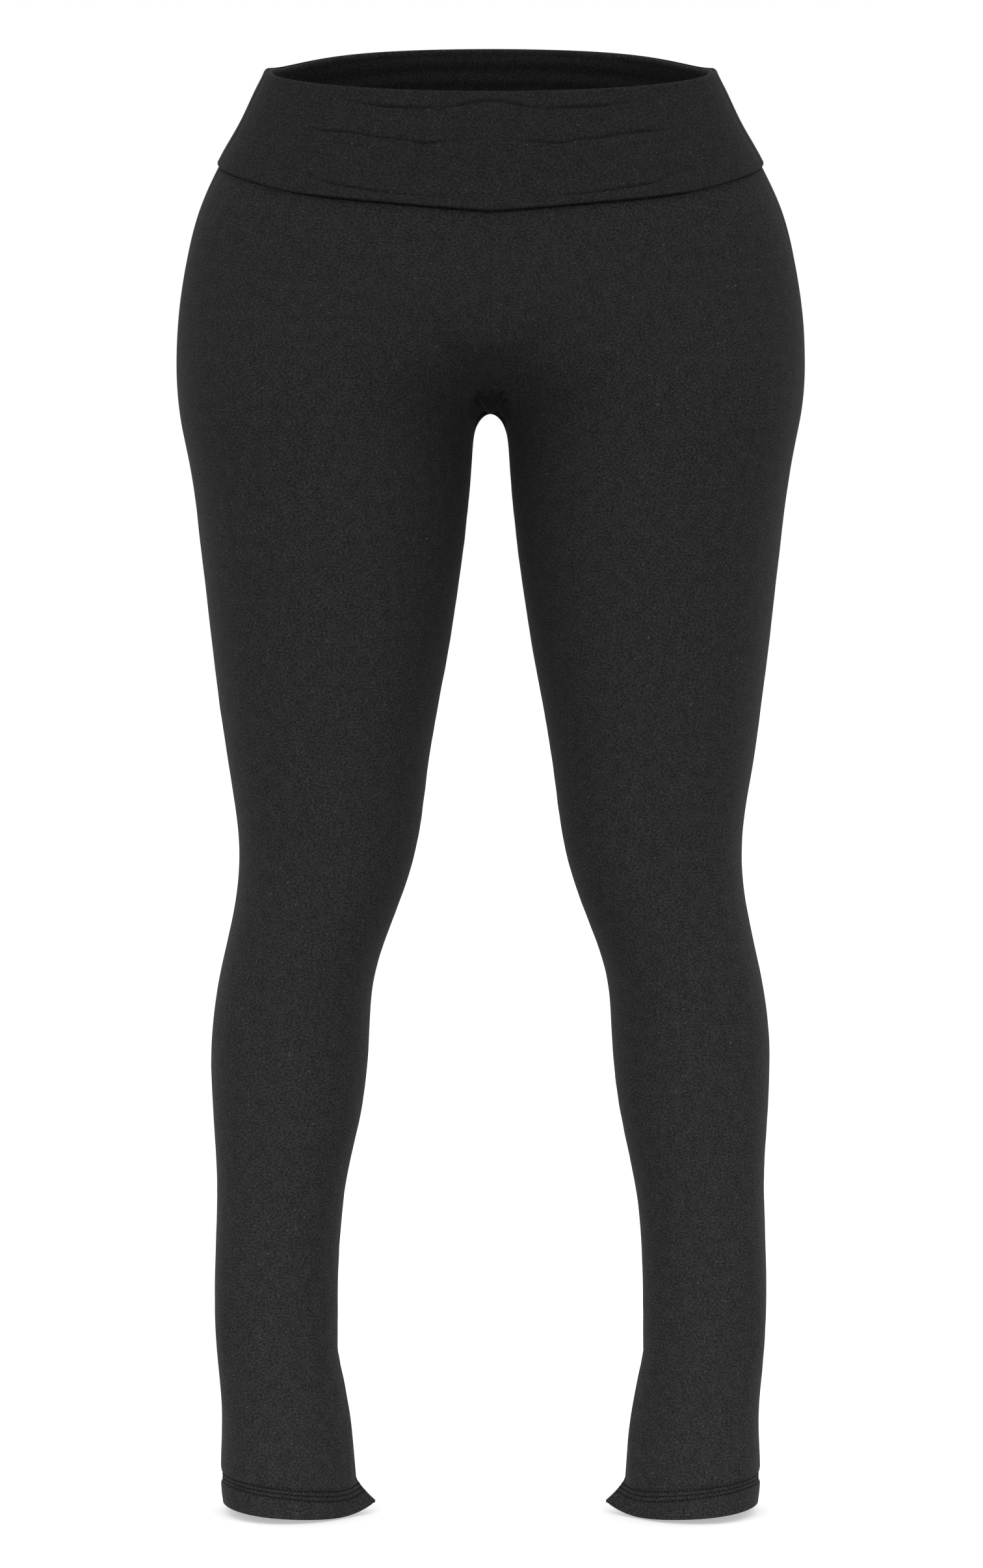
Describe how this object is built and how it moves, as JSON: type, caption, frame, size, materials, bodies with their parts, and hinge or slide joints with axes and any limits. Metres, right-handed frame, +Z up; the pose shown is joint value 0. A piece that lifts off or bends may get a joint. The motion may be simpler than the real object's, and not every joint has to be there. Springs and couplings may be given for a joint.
{
  "type": "leggings",
  "caption": "Full-length knit jersey leggings in their hollow worn form, with a waistband folded down over itself and a slit in the inner seam at each ankle.",
  "frame": {"origin": "centre of the waist opening, level with the top of its two sides, where the wearer holds the leggings up", "axes": "+Z up the body, the garment's front faces -Y, the wearer's left is +X"},
  "size_m": [0.401, 0.2467, 0.946],
  "materials": {
    "leg_jersey": "matt charcoal melange cotton and elastane jersey with a fine fuzz",
    "band_jersey": "the same jersey, two layers, folded over"
  },
  "bodies": {
    "root": {"front_left": "leg_jersey", "front_right": "leg_jersey", "back_left": "leg_jersey", "back_right": "leg_jersey", "waistband_front": "band_jersey", "waistband_back": "band_jersey"}
  },
  "joints": []
}
